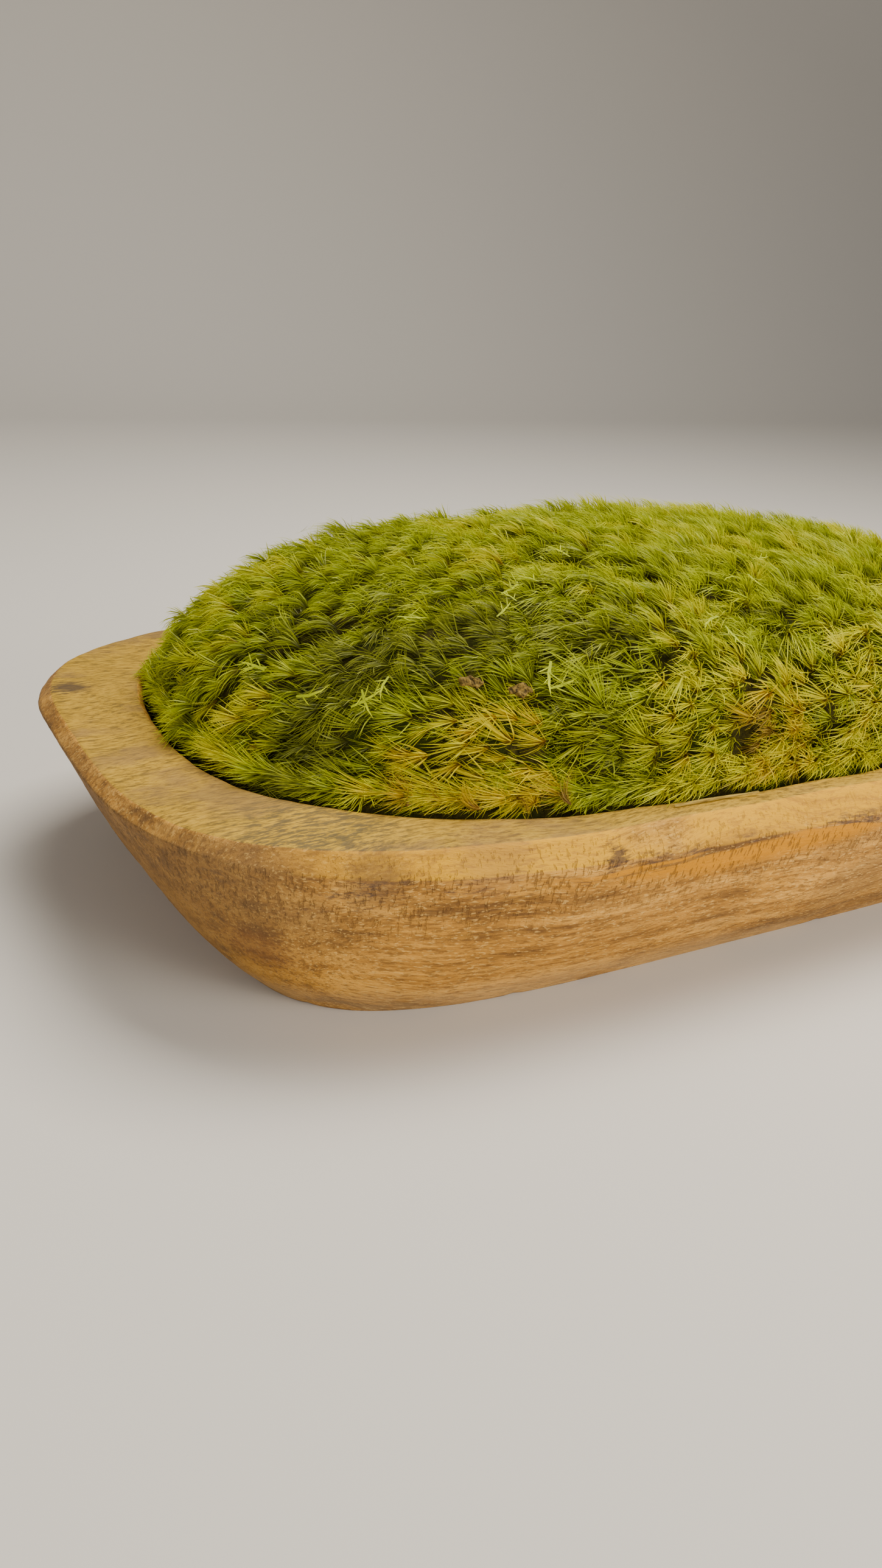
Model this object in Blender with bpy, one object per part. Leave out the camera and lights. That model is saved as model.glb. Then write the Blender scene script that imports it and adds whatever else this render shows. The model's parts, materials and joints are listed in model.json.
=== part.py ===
"""Moss mound in a hand-carved wooden dough bowl.

The bowl is one carved block. Seven cushions of moss are pressed into it side by side, and each is
its own solid, from the bowl's floor to the tips of its leaves. A straw and two flakes of bark lie
on the moss. Metres, +Z up, origin under the middle of the bowl's foot.
"""

from math import cos, pi, sin

import bmesh
import bpy
from mathutils import Matrix, Vector

# The bowl's driving dimensions.
RIM_Z = 0.065
EDGE_HALF = (0.215, 0.1205)  # the widest line, where the chamfer meets the wall
EDGE_POWER = 3.45  # 2 would be an ellipse, and more is squarer
FOOT_HALF = (0.174, 0.0965)
FOOT_POWER = 5.0
MOUTH_HALF = (0.183, 0.106)
MOUTH_POWER = 2.75
FLOOR_Z = 0.014
FLOOR_HALF = (0.148, 0.072)
FLOOR_POWER = 2.6

END_CHAMFER = (0.0045, 0.004)  # width and drop of the rim's chamfer at the two ends
SIDE_CHAMFER = (0.006, 0.0092)  # and along the two sides
WALL_BELLY = 0.0055  # how far the wall bulges past a straight slope
BELLY_POWER = 1.2  # over 1 puts the belly in the lower half of the wall
WALL_STEPS = 5
HOLLOW_STEPS = 5
HOLLOW_ROUNDNESS = 0.8  # under 1 keeps the hollow's wall steep for longer
LIP_RADIUS = 0.0018
RING_POINTS = 72

# The moss.
MOSS_GAP = 0.0008  # between the moss and the bowl, and half of it between two cushions
MOUND_HALF = (0.185, 0.108)  # it leans about 2 mm over the mouth's edge
MOUND_POWER = 2.45
MOUND_SPRING_Z = 0.0655
MOUND_RISE = 0.0575
MOUND_ROUNDNESS = 3.0
MOUND_LEAN_Z = 0.0725
NECK_SHARE = 0.4  # how far the moss has leaned out where it passes the rim
NECK_LIFT = 0.001
DOME_RINGS = 9
DOME_START = 0.12  # the share of the dome's quarter turn that is below its first ring
GROOVE_DEPTH = 0.006  # the cushions' shoulders are rounded down to this at each seam
GROOVE_REACH = 0.011
GROOVE_CUTS = (0.3, 0.6, 1.0)  # where the mesh is cut along a groove, as shares of its reach
CUSHION_SEEDS = {  # a cushion is all that lies nearer to its own seed than to any other
    "left": (-0.118, -0.003),
    "side": (-0.126, -0.067),
    "front": (-0.131, -0.076),
    "centre": (-0.0465, -0.080),
    "back": (0.0125, -0.037),
    "right": (0.0415, -0.062),
    "end": (0.168, -0.049),
}

# What lies on the moss.
STRAW_START = Vector((-0.0580, -0.1089, RIM_Z))
STRAW_LENGTH = 0.034
STRAW_RADIUS = 0.0006
STRAW_BOW = 0.0007
STRAW_TAPER = 0.35  # the share of its radius that the far end has lost
STRAW_STEPS = 8
STRAW_SIDES = 8
FLAKE_PLACES = {"bark_flake_left": (-0.1155, -0.0788), "bark_flake_right": (-0.1035, -0.0854)}
FLAKE_SIZE = {"bark_flake_left": (0.0070, 0.0040), "bark_flake_right": (0.0085, 0.0032)}
FLAKE_RUN = Vector((0.874, -0.485, 0))  # they lie in the groove behind the front cushion
FLAKE_THICKNESS = 0.0009
FLAKE_CORNERS = 7
FLAKE_RAGGED = 0.22
FLAKE_LIFT = 0.0038
CLEARANCE = 0.0004


def clear_scene():
    for obj in list(bpy.data.objects):
        bpy.data.objects.remove(obj)


def material(name, colour, roughness):
    made = bpy.data.materials.new(name)
    made.use_nodes = True
    shader = made.node_tree.nodes["Principled BSDF"]
    shader.inputs["Base Color"].default_value = (*colour, 1.0)
    shader.inputs["Roughness"].default_value = roughness
    shader.inputs["Metallic"].default_value = 0.0
    return made


def add_object(name, bm, finish):
    bmesh.ops.recalc_face_normals(bm, faces=bm.faces)
    if bm.calc_volume(signed=True) < 0:
        bmesh.ops.reverse_faces(bm, faces=bm.faces)
    mesh = bpy.data.meshes.new(name)
    bm.to_mesh(mesh)
    bm.free()
    mesh.shade_smooth()
    mesh.set_sharp_from_angle(angle=pi / 6)
    mesh.materials.append(finish)
    obj = bpy.data.objects.new(name, mesh)
    bpy.context.scene.collection.objects.link(obj)
    return obj


def outline(half, power):
    """A rounded rectangle's points in plan: a superellipse, stepped evenly round its own middle."""
    points = []
    for step in range(RING_POINTS):
        turn = 2 * pi * step / RING_POINTS
        reach = (abs(cos(turn)) ** power + abs(sin(turn)) ** power) ** (-1 / power)
        points.append(Vector((half[0] * reach * cos(turn), half[1] * reach * sin(turn), 0)))
    return points


def at_height(points, z):
    return [Vector((p.x, p.y, z)) for p in points]


def grown(points, amount):
    """The outline moved outwards by amount, and inwards if it is negative."""
    return [p + Vector((p.x, p.y, 0)).normalized() * amount for p in points]


def blended(first, second, share):
    return [a.lerp(b, share) for a, b in zip(first, second)]


def loft(rings):
    """A closed skin through the rings, from the first one's cap to the last one's."""
    bm = bmesh.new()
    loops = []
    for ring in rings:
        verts = [bm.verts.new(p) for p in ring]
        loops.append([bm.edges.new((verts[i - 1], verts[i])) for i in range(len(verts))])
    for lower, upper in zip(loops, loops[1:]):
        bmesh.ops.bridge_loops(bm, edges=lower + upper)
    for end in (loops[0], loops[-1]):
        bmesh.ops.contextual_create(bm, geom=end)
    return bm


def chamfer(point, which):
    """The chamfer's width or drop there: the ends' value, turning into the sides' along the bowl."""
    side = min(1.0, abs(point.y) / EDGE_HALF[1]) ** 4
    return END_CHAMFER[which] * (1 - side) + SIDE_CHAMFER[which] * side


def bowl_rings():
    edge = outline(EDGE_HALF, EDGE_POWER)
    rim = [p - p.normalized() * chamfer(p, 0) + Vector((0, 0, RIM_Z)) for p in edge]
    edge = [p + Vector((0, 0, RIM_Z - chamfer(p, 1))) for p in edge]
    foot = at_height(outline(FOOT_HALF, FOOT_POWER), 0)
    rings = [foot]
    for step in range(WALL_STEPS - 1, 0, -1):
        down = step / WALL_STEPS
        belly = WALL_BELLY * sin(pi * down**BELLY_POWER)
        rings.append(grown(blended(edge, foot, down), belly))
    rings += [edge, rim]
    mouth = outline(MOUTH_HALF, MOUTH_POWER)
    rings += [at_height(grown(mouth, LIP_RADIUS), RIM_Z), at_height(mouth, RIM_Z - LIP_RADIUS)]
    floor = at_height(outline(FLOOR_HALF, FLOOR_POWER), FLOOR_Z)
    for step in range(1, HOLLOW_STEPS + 1):
        turn = step / HOLLOW_STEPS * pi / 2
        ring = blended(floor, mouth, cos(turn) ** HOLLOW_ROUNDNESS)
        rings.append(at_height(ring, FLOOR_Z + (RIM_Z - LIP_RADIUS - FLOOR_Z) * (1 - sin(turn))))
    return rings


def make_bowl():
    wood = material("carved_wood", (0.42, 0.24, 0.085), 0.6)
    return add_object("bowl", loft(bowl_rings()), wood)


def mound_share(x, y):
    """How far out a point is: 0 at the mound's middle, and 1 on its outline."""
    share_x, share_y = abs(x) / MOUND_HALF[0], abs(y) / MOUND_HALF[1]
    return min(1.0, (share_x**MOUND_POWER + share_y**MOUND_POWER) ** (1 / MOUND_POWER))


def mound_height(x, y):
    """The height of the leaf tips over a point in plan."""
    out = mound_share(x, y)
    return MOUND_SPRING_Z + MOUND_RISE * (1 - out**MOUND_ROUNDNESS) ** (1 / MOUND_ROUNDNESS)


def mound_normal(x, y):
    """The way out of the mound over a point in plan, from how fast its height falls there."""
    reach = 0.002
    fall_x = mound_height(x - reach, y) - mound_height(x + reach, y)
    fall_y = mound_height(x, y - reach) - mound_height(x, y + reach)
    return Vector((fall_x, fall_y, 2 * reach)).normalized()


def groove(distance):
    """How far the leaf tips lie under the mound's full height, that far from a seam."""
    near = max(0.0, 1 - distance / GROOVE_REACH)
    return GROOVE_DEPTH * near**2


def seams_round(name):
    """A point on each vertical plane between this cushion and another, and the way across it."""
    seed = Vector((*CUSHION_SEEDS[name], 0))
    for other, place in CUSHION_SEEDS.items():
        if other != name:
            across = Vector((*place, 0)) - seed
            yield seed + across / 2, across.normalized()


def moss_block():
    """All the moss as one skin: a plug that fills the hollow, and the dome that stands over it."""
    hollow = bowl_rings()[-HOLLOW_STEPS - 1 :]
    plug = [grown(ring, -MOSS_GAP) for ring in hollow[::-1]]
    plug[0] = [p + Vector((0, 0, MOSS_GAP)) for p in plug[0]]
    mound = outline(MOUND_HALF, MOUND_POWER)
    neck = at_height(blended(plug[-1], mound, NECK_SHARE), RIM_Z + CLEARANCE + NECK_LIFT)
    rings = plug + [neck, at_height(mound, MOUND_LEAN_Z)]
    for step in range(1, DOME_RINGS + 1):
        turn = (DOME_START + (1 - DOME_START) * step / (DOME_RINGS + 0.35)) * pi / 2
        out = cos(turn) ** (2 / MOUND_ROUNDNESS)
        up = sin(turn) ** (2 / MOUND_ROUNDNESS)
        ring = [p * out for p in mound]
        rings.append(at_height(ring, MOUND_SPRING_Z + MOUND_RISE * up))
    bm = loft(rings)
    top = max(bm.faces, key=lambda face: face.calc_center_median().z)
    bmesh.ops.poke(bm, faces=[top])
    return bm


def cut(bm, point, direction, clear):
    """Cuts all faces along a plane. With clear, what lies past it goes, and a flat face closes it."""
    geom = bm.verts[:] + bm.edges[:] + bm.faces[:]
    made = bmesh.ops.bisect_plane(
        bm, geom=geom, dist=1e-6, plane_co=point, plane_no=direction, clear_outer=clear
    )
    rim = [e for e in made["geom_cut"] if isinstance(e, bmesh.types.BMEdge)]
    if clear and rim:
        bmesh.ops.holes_fill(bm, edges=rim)


def round_shoulders(bm, seams):
    """Sinks the leaf tips near the seams. What lies on a cut stays on it, and nothing crosses it."""
    for vert in bm.verts:
        if vert.co.z < MOUND_LEAN_Z - 1e-6:
            continue
        away = [(point - vert.co).dot(across) - MOSS_GAP / 2 for point, across in seams]
        sink = mound_normal(vert.co.x, vert.co.y) * -groove(min(away))
        on_cut = [across for (_, across), room in zip(seams, away) if room < 1e-5]
        if len(on_cut) > 1:
            sink = Vector((0, 0, sink.z))
        for (_, across), room in zip(seams, away):
            reach = sink.dot(across)
            if reach > room or room < 1e-5:
                sink -= across * (reach - room)
        vert.co += sink


def make_cushion(name, finish):
    bm = moss_block()
    seams = list(seams_round(name))
    for point, across in seams:
        cut(bm, point - across * MOSS_GAP / 2, across, clear=True)
    for point, across in seams:
        for share in GROOVE_CUTS:
            cut(bm, point - across * GROOVE_REACH * share, across, clear=False)
    round_shoulders(bm, seams)
    return add_object("moss_cushion_" + name, bm, finish)


def make_straw():
    """A dry stem along the front of the rim, bowed a little and thinner at its far end."""
    rings = []
    for step in range(STRAW_STEPS + 1):
        along = step / STRAW_STEPS
        middle = STRAW_START + Vector(
            (STRAW_LENGTH * along, -STRAW_BOW * along, STRAW_RADIUS + CLEARANCE)
        )
        middle.y += STRAW_BOW * sin(pi * along) * 0.5
        radius = STRAW_RADIUS * (1 - STRAW_TAPER * along)
        ring = [
            middle + Vector((0, radius * cos(a), radius * sin(a)))
            for a in (2 * pi * side / STRAW_SIDES for side in range(STRAW_SIDES))
        ]
        rings.append(ring)
    return add_object("straw_stem", loft(rings), material("straw", (0.55, 0.42, 0.2), 0.7))


def make_flake(name, finish):
    """A flat scrap of bark with ragged corners, lying on the leaf tips."""
    length, width = FLAKE_SIZE[name]
    corners = []
    for corner in range(FLAKE_CORNERS):
        turn = 2 * pi * corner / FLAKE_CORNERS
        ragged = 1 + FLAKE_RAGGED * sin(5.1 * corner + length * 1000)
        corners.append(Vector((length / 2 * cos(turn) * ragged, width / 2 * sin(turn) * ragged, 0)))
    bm = bmesh.new()
    bm.faces.new([bm.verts.new(p) for p in corners])
    raised = bmesh.ops.extrude_face_region(bm, geom=bm.faces[:])
    top = [v for v in raised["geom"] if isinstance(v, bmesh.types.BMVert)]
    bmesh.ops.translate(bm, verts=top, vec=(0, 0, FLAKE_THICKNESS))
    x, y = FLAKE_PLACES[name]
    slope = mound_normal(x, y)
    place = Vector((x, y, mound_height(x, y))) + slope * (FLAKE_LIFT - GROOVE_DEPTH)
    run = (FLAKE_RUN - slope * FLAKE_RUN.dot(slope)).normalized()
    lie = Matrix((run, slope.cross(run), slope)).transposed().to_4x4()
    bmesh.ops.transform(bm, matrix=Matrix.Translation(place) @ lie, verts=bm.verts)
    return add_object(name, bm, finish)


clear_scene()
make_bowl()
moss = material("moss", (0.16, 0.20, 0.012), 0.8)
for cushion in CUSHION_SEEDS:
    make_cushion(cushion, moss)
make_straw()
bark = material("bark", (0.20, 0.10, 0.045), 0.85)
for flake in FLAKE_PLACES:
    make_flake(flake, bark)
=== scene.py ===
# %% [markdown]
# # A mound of moss in a carved wooden bowl
#
# The bowl is a long dough bowl, cut by hand from one block of wood. Cushions of mood moss are
# pressed into it side by side. Mood moss grows in tufts of long leaves that all curve one way, so
# the mound looks combed. This lesson dresses the bare shapes of the frame: first the view, then
# the wood, then the moss from a single leaf upwards, and last the bits that lie among the leaves.

# %% Load the frame
import json
from math import cos, pi, radians, sin

import bpy
import numpy as np
from mathutils import Matrix, Vector

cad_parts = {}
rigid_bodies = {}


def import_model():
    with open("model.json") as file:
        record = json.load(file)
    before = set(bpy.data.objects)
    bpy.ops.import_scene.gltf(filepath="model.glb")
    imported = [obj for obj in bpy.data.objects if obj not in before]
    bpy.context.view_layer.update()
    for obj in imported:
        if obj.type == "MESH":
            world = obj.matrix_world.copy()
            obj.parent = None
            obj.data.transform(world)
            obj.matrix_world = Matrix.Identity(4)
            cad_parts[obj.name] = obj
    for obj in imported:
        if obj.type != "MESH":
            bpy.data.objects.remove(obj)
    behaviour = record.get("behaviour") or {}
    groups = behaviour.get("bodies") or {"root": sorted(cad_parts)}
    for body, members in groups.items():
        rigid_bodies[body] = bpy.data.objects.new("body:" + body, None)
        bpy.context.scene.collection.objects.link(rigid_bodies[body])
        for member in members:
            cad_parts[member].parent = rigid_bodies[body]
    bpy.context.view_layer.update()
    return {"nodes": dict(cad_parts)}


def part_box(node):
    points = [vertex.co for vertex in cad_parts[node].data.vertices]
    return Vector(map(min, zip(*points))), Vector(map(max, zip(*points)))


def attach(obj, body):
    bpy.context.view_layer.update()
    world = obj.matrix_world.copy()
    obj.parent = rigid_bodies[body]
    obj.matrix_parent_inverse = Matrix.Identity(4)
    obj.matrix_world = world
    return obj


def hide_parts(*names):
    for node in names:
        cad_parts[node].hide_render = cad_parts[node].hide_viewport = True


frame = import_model()
nodes = frame["nodes"]
dice = np.random.default_rng(11)
print("frame:", ", ".join(sorted(nodes)))

# %% [markdown]
# The camera comes first, because every later choice is judged through it. It stands to the left of
# the bowl and above it, so the near corner of the rim is large and the far end runs out of view.
# Turning it in four plain steps (place, heading, tilt, roll) keeps each number readable.

# %% The camera
CAMERA_PLACE = Vector((-0.2957, -0.3657, 0.2176))
HEADING, TILT, ROLL = 0.5419, 0.4149, 0.0855  # radians: right of +Y, below level, to the left
camera_data = bpy.data.cameras.new("camera")
camera_data.lens = 28.25
camera = bpy.data.objects.new("camera", camera_data)
bpy.context.scene.collection.objects.link(camera)
camera.matrix_world = (
    Matrix.Translation(CAMERA_PLACE)
    @ Matrix.Rotation(-HEADING, 4, "Z")
    @ Matrix.Rotation(pi / 2 - TILT, 4, "X")
    @ Matrix.Rotation(ROLL, 4, "Z")
)
bpy.context.scene.camera = camera
print("camera", tuple(round(c, 3) for c in camera.location))

# %% [markdown]
# Operators act on everything that is selected, and loading leaves the frame selected. These small
# helpers clear the selection first, pick one object, and apply what has been added to it.


# %% Helpers for modelling with operators
def only(piece):
    """Deselects everything, then selects this piece and makes it the active one."""
    for other in bpy.context.scene.objects:
        other.select_set(False)
    piece.select_set(True)
    bpy.context.view_layer.objects.active = piece


def edit(piece):
    """Opens a piece in edit mode with all of it selected."""
    only(piece)
    bpy.ops.object.mode_set(mode="EDIT")
    bpy.ops.mesh.select_all(action="SELECT")


def leave_edit():
    bpy.ops.object.mode_set(mode="OBJECT")


def edit_points(piece, chosen):
    """Opens a piece in edit mode with only those of its points selected that chosen() is true of."""
    edit(piece)
    bpy.ops.mesh.select_mode(type="VERT")
    bpy.ops.mesh.select_all(action="DESELECT")
    leave_edit()
    for vertex in piece.data.vertices:
        vertex.select = chosen(vertex.co)
    bpy.ops.object.mode_set(mode="EDIT")


def apply_modifiers(piece):
    only(piece)
    for modifier in list(piece.modifiers):
        bpy.ops.object.modifier_apply(modifier=modifier.name)


def settle(piece):
    """Moves a piece's place, turn and scale into its mesh, so that the object sits at the origin."""
    only(piece)
    bpy.ops.object.transform_apply(location=True, rotation=True, scale=True)


def merged_copy(node, name):
    """A copy of a frame node with a mesh of its own, its loose triangles joined into one skin."""
    copy = nodes[node].copy()
    copy.data = nodes[node].data.copy()
    for key in list(copy.keys()):
        del copy[key]
    copy.parent = None
    copy.name = name
    copy.hide_viewport = copy.hide_render = False
    bpy.context.scene.collection.objects.link(copy)
    edit(copy)
    bpy.ops.mesh.remove_doubles(threshold=1e-6)
    leave_edit()
    copy.data.materials.clear()
    return copy


def finish_as(piece, material, replaced=()):
    """Gives a piece its material, puts it on the frame's root body and hides the parts it replaces.
    """
    piece.data.materials.clear()
    piece.data.materials.append(material)
    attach(piece, "root")
    if replaced:
        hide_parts(*replaced)
    only(piece)
    piece.data.calc_loop_triangles()
    print(f"{piece.name}: {len(piece.data.loop_triangles)} triangles")


# %% [markdown]
# Materials are networks of nodes. Written out in full they are long, so these helpers add a node
# and join it up in one call. Patterns read Object coordinates, which are metres here, so a scale
# of 100 repeats a pattern about once a centimetre.


# %% Helpers for materials
class Finish:
    """A material under construction: node() adds a node and links its inputs."""

    def __init__(self, name):
        self.material = bpy.data.materials.new(name)
        self.material.use_nodes = True
        self.tree = self.material.node_tree
        self.shader = self.tree.nodes["Principled BSDF"]
        self.output = self.tree.nodes["Material Output"]

    def node(self, kind, output=0, settings=None, **inputs):
        made = self.tree.nodes.new(kind)
        for key, value in (settings or {}).items():
            setattr(made, key, value)
        for key, value in inputs.items():
            self.put(made.inputs[int(key[1:])] if key[0] == "i" and key[1:].isdigit()
                     else made.inputs[key.replace("_", " ")], value)
        return made.outputs[output]

    def put(self, socket, value):
        if isinstance(value, bpy.types.NodeSocket):
            self.tree.links.new(value, socket)
        elif isinstance(value, tuple) and len(value) == 3 and socket.type == "RGBA":
            socket.default_value = (*value, 1.0)
        else:
            socket.default_value = value

    def place(self, scale=(1, 1, 1), turn=(0, 0, 0)):
        """Object coordinates, scaled and turned."""
        spot = self.node("ShaderNodeTexCoord", "Object")
        return self.node("ShaderNodeMapping", Vector=spot, Rotation=turn, Scale=scale)

    def noise(self, where, scale, detail=4.0, rough=0.55):
        return self.node("ShaderNodeTexNoise", Vector=where, Scale=scale, Detail=detail,
                         Roughness=rough)

    def steps(self, value, low, high):
        """0 below low, 1 above high, and a smooth rise between them. low may be the larger."""
        return self.node("ShaderNodeMapRange", settings={"interpolation_type": "SMOOTHSTEP"},
                         i0=value, i1=low, i2=high)

    def maths(self, how, first, second=0.0, third=0.0):
        return self.node("ShaderNodeMath", settings={"operation": how}, i0=first, i1=second,
                         i2=third)

    def times(self, *values):
        """The product of all the values."""
        product = values[-1]
        for value in reversed(values[:-1]):
            product = self.maths("MULTIPLY", value, product)
        return product

    def apart(self, spot, place):
        """How far a spot is from a place."""
        return self.node("ShaderNodeVectorMath", "Value", settings={"operation": "DISTANCE"},
                         i0=spot, i1=place)

    def mixed(self, share, first, second):
        """Two colours mixed: share 0 gives the first."""
        mix = self.tree.nodes.new("ShaderNodeMix")
        mix.data_type = "RGBA"
        for socket, value in zip((mix.inputs[0], mix.inputs[6], mix.inputs[7]),
                                 (share, first, second)):
            self.put(socket, value)
        return mix.outputs[2]

    def ramp(self, value, stops):
        """Colours by value: stops are (place, colour) pairs."""
        made = self.tree.nodes.new("ShaderNodeValToRGB")
        self.put(made.inputs[0], value)
        elements = made.color_ramp.elements
        while len(elements) < len(stops):
            elements.new(0.5)
        for element, (at, colour) in zip(elements, stops):
            element.position = at
            element.color = (*colour, 1.0)
        return made.outputs[0]

    def split(self, vector):
        """The X, Y and Z of a vector."""
        parts = self.tree.nodes.new("ShaderNodeSeparateXYZ")
        self.put(parts.inputs[0], vector)
        return parts.outputs

    def bump(self, height, distance, strength=1.0):
        raised = self.node("ShaderNodeBump", Height=height, Distance=distance, Strength=strength)
        self.put(self.shader.inputs["Normal"], raised)


# %% [markdown]
# The studio is one plain, pale sheet of paper that lies under the bowl and curves up into a wall
# behind it, so that no horizon shows. The wall is extruded from the sheet's far edge, and a wide
# bevel of that edge makes the curve.

# %% The floor
FLOOR_WIDTH, FLOOR_BACK, WALL_HEIGHT = 4.0, 1.6, 2.2
CURVE_RADIUS, CURVE_STEPS = 0.5, 12
FLOOR_PALE = (0.56, 0.525, 0.475)

bpy.ops.mesh.primitive_plane_add(size=1, location=(0, FLOOR_BACK - FLOOR_WIDTH / 2, 0))
floor = bpy.context.active_object
floor.name = "studio_floor"
floor.scale = (FLOOR_WIDTH, FLOOR_WIDTH, 1)
settle(floor)
edit_points(floor, lambda spot: spot.y > FLOOR_BACK - 0.01)
bpy.ops.mesh.extrude_region_move(TRANSFORM_OT_translate={"value": (0, 0, WALL_HEIGHT)})
leave_edit()
edit_points(floor, lambda spot: spot.y > FLOOR_BACK - 0.01 and spot.z < 0.01)
bpy.ops.mesh.bevel(offset=CURVE_RADIUS, segments=CURVE_STEPS)
leave_edit()
floor.data.shade_smooth()

paper = Finish("studio_paper")
paper.put(paper.shader.inputs["Base Color"], FLOOR_PALE)
paper.put(paper.shader.inputs["Roughness"], 0.8)
paper.put(paper.shader.inputs["Specular IOR Level"], 0.1)
floor.data.materials.append(paper.material)
print("studio:", len(floor.data.polygons), "faces")

# %% [markdown]
# Three wide, soft lamps light the bowl. The strongest hangs overhead, because the leaves have to
# catch light on their upper sides. One low in front lifts the carved wall, and a weak one at the
# left keeps that end from going dark. The air adds a little light from everywhere.


# %% The lamps
AIR_COLOUR, AIR_STRENGTH = (0.80, 0.79, 0.77, 1.0), 0.36


def lamp(name, place, aim, size, watts, colour):
    data = bpy.data.lights.new(name, "AREA")
    data.size = size
    data.energy = watts
    data.color = colour
    made = bpy.data.objects.new(name, data)
    made.location = place
    made.rotation_euler = (Vector(aim) - Vector(place)).to_track_quat("-Z", "Y").to_euler()
    bpy.context.scene.collection.objects.link(made)


lamp("overhead", (0.20, 0.10, 1.00), (0.02, 0, 0.05), 0.7, 19.0, (1.0, 0.96, 0.88))
lamp("front", (0.42, -1.05, 0.40), (0.0, 0, 0.04), 0.7, 17.0, (1.0, 0.95, 0.86))
lamp("left", (-1.05, -0.65, 0.35), (-0.15, 0, 0.03), 0.8, 5.5, (1.0, 0.97, 0.93))
world = bpy.data.worlds.new("studio_air")
world.use_nodes = True
world.node_tree.nodes["Background"].inputs["Color"].default_value = AIR_COLOUR
world.node_tree.nodes["Background"].inputs["Strength"].default_value = AIR_STRENGTH
bpy.context.scene.world = world

# %% [markdown]
# ## The bowl
#
# The frame's bowl has the right size but flat facets and perfect lines. A carver leaves neither.
# A copy of it is subdivided, with its ridges creased so that they stay crisp, and then pushed in
# and out by cloud textures. First the copy's triangles are paired up to four-sided faces, which
# subdivide more evenly.

# %% Round the bowl off
RIDGE_ANGLE, RIDGE_CREASE = radians(24), 0.90

bowl = merged_copy("bowl", "carved_bowl")
edit(bowl)
bpy.ops.mesh.tris_convert_to_quads(face_threshold=radians(18), shape_threshold=radians(60))
bpy.ops.mesh.select_mode(type="EDGE")
bpy.ops.mesh.select_all(action="DESELECT")
bpy.ops.mesh.edges_select_sharp(sharpness=RIDGE_ANGLE)
bpy.ops.transform.edge_crease(value=RIDGE_CREASE)
leave_edit()
print("ridges:", sum(edge.select for edge in bowl.data.edges), "edges creased")
smooth = bowl.modifiers.new("round_off", "SUBSURF")
smooth.levels = smooth.render_levels = 3
apply_modifiers(bowl)

# %% [markdown]
# Three tools have been at the wood, and each gets a cloud texture of its own size and depth: slow
# waves from the adze, shallow scoops from the gouge, and the fine drag of a scraper. The carving
# fades out towards the foot, which stands flat on a table. A vertex group says where.

# %% Carve it
CARVING = {"adze": (0.055, 0.0021), "gouge": (0.016, 0.0007), "scraper": (0.0045, 0.00022)}
UNCARVED_FOOT = 0.010  # the carving comes in over this height, from none at the table

carved = bowl.vertex_groups.new(name="carved")
for vertex in bowl.data.vertices:
    carved.add([vertex.index], min(1.0, vertex.co.z / UNCARVED_FOOT), "REPLACE")
for tool, (grain, depth) in CARVING.items():
    clouds = bpy.data.textures.new(tool, "CLOUDS")
    clouds.noise_scale = grain
    clouds.noise_depth = 1
    carve = bowl.modifiers.new(tool, "DISPLACE")
    carve.texture = clouds
    carve.strength = depth
    carve.mid_level = 0.5
    carve.vertex_group = carved.name
apply_modifiers(bowl)
bowl.data.shade_smooth()
print("carved with", ", ".join(CARVING))

# %% [markdown]
# The wood was stained by use and only rubbed with oil. Its grain runs along the bowl, so its
# patterns are noises stretched along X, and a slow sway keeps their lines from being ruled. Four
# serve the whole bowl: the grain, the short strokes of the tools, fine specks and wide blotches.

# %% The patterns in the wood
RIM_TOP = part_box("bowl")[1].z
SWAY = 0.03  # how far the lines of the grain wander, in metres

wood = Finish("carved_wood")
wood_spot = wood.node("ShaderNodeTexCoord", "Object")
x, y, z = wood.split(wood_spot)
facing = wood.split(wood.node("ShaderNodeNewGeometry", "Normal"))[2]
depth = wood.maths("SUBTRACT", RIM_TOP, z)
sway = wood.noise(wood.place((9, 9, 9)), 1.0, detail=2.0)
drift = wood.maths("MULTIPLY_ADD", sway, SWAY, -SWAY / 2)
swayed = wood.node("ShaderNodeCombineXYZ", X=x, Y=wood.maths("ADD", y, drift),
                   Z=wood.maths("ADD", z, drift))


def along_grain(scale, detail, rough):
    return wood.noise(wood.node("ShaderNodeMapping", Vector=swayed, Scale=scale), 1.0,
                      detail=detail, rough=rough)


grain = along_grain((10, 85, 130), 9.0, 0.74)
strokes = along_grain((190, 850, 900), 3.0, 0.70)
specks = along_grain((430, 1250, 1250), 2.0, 0.60)
blotch = wood.noise(wood.place((17, 24, 32)), 1.0, detail=5.0, rough=0.6)
print("patterns:", len(wood.tree.nodes), "nodes")

# %% [markdown]
# The carved wall is tan between gold-brown and dark lines. Blotches darken it or warm it, dark
# strokes cross it, and pale specks lie over them where the oil has dried.

# %% The wall
TAN, GOLD_BROWN, UMBER = (0.57, 0.290, 0.052), (0.36, 0.165, 0.026), (0.130, 0.060, 0.016)
STAINED, WARM, DRIED = (0.20, 0.108, 0.034), (0.62, 0.300, 0.030), (0.66, 0.40, 0.110)

colour = wood.ramp(grain, [(0.38, UMBER), (0.485, GOLD_BROWN), (0.60, TAN)])
colour = wood.mixed(wood.times(wood.steps(blotch, 0.46, 0.66), 0.55), colour, STAINED)
colour = wood.mixed(wood.times(wood.steps(blotch, 0.44, 0.30), 0.45), colour, WARM)
colour = wood.mixed(wood.times(wood.steps(strokes, 0.50, 0.39), 0.62), colour, UMBER)
colour = wood.mixed(wood.times(wood.steps(specks, 0.56, 0.66), 0.50), colour, DRIED)
print("with the wall:", len(wood.tree.nodes), "nodes")
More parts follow.
